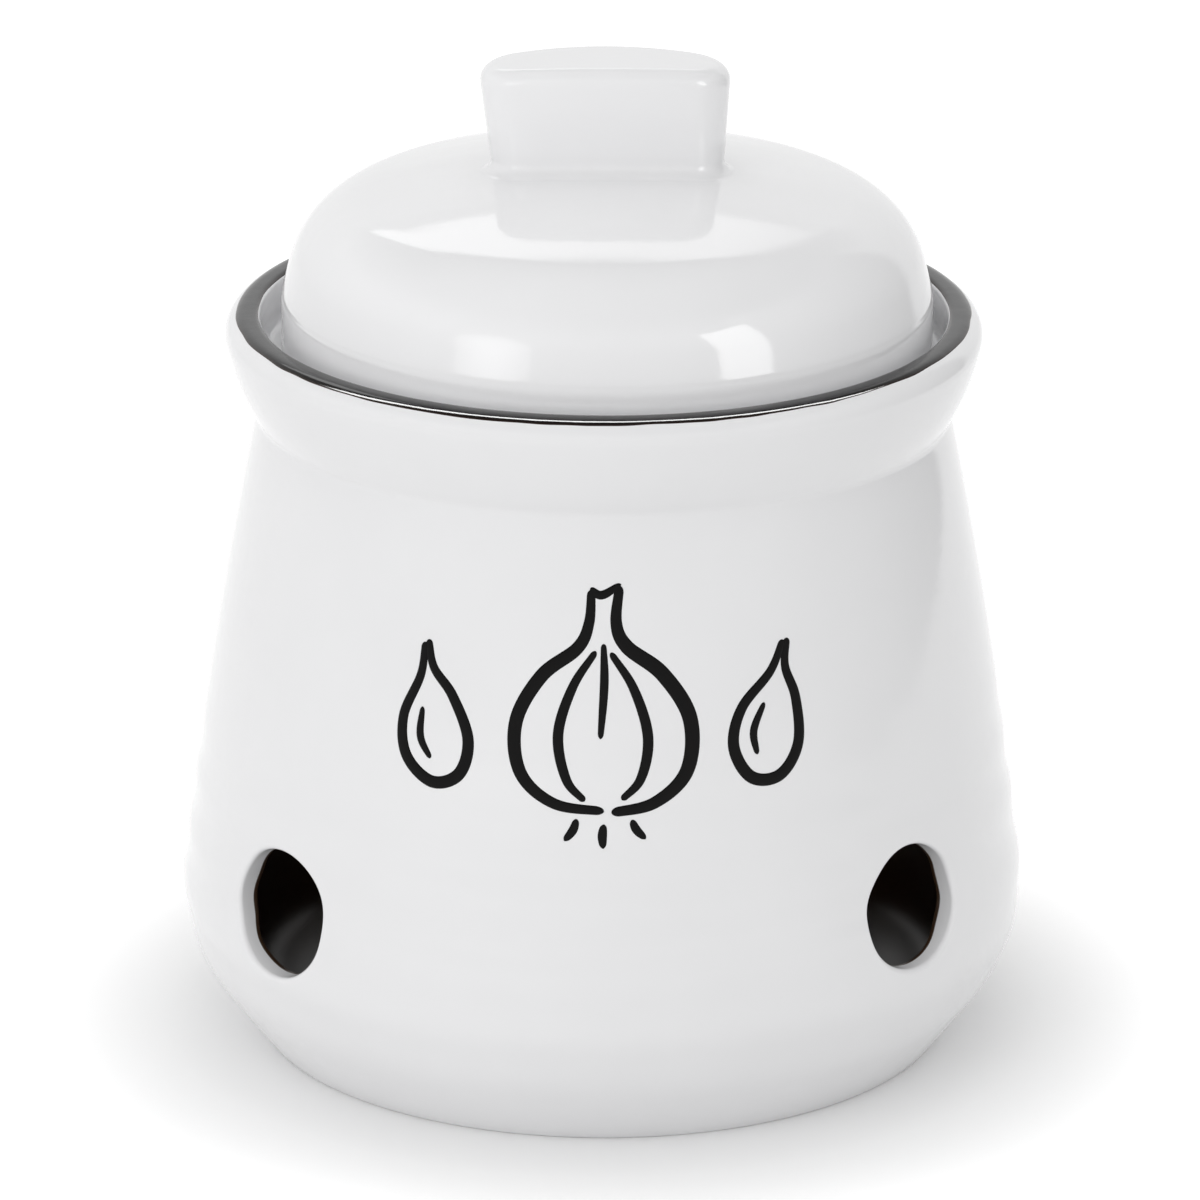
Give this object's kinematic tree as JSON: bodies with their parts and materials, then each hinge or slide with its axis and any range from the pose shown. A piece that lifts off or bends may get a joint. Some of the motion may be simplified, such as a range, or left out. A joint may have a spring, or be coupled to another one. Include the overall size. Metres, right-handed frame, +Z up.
{
  "type": "garlic keeper",
  "caption": "Round-bellied lidded stoneware jar with vent holes low in the wall, a flared rim and a loose domed lid with an oval knob.",
  "frame": {"origin": "centre of the foot ring, on the surface that the jar stands on", "axes": "+Z up along the jar's axis, -Y out of the front between two vents, +X along the knob's length"},
  "size_m": [0.1218, 0.1218, 0.1443],
  "materials": {
    "white_glaze": "glossy white glaze on stoneware, bare on the foot ring and the lid's seat",
    "black_glaze": "glossy black glaze, brushed on by hand"
  },
  "bodies": {
    "jar": {"jar_body": "white_glaze", "rim_band": "black_glaze"},
    "lid": {"lid_dome": "white_glaze", "lid_knob": "white_glaze"}
  },
  "joints": [
    {"name": "lid_lift", "type": "slide", "parent": "jar", "child": "lid", "axis": [0, 0, 1], "range_m": [0, 0.08]}
  ]
}
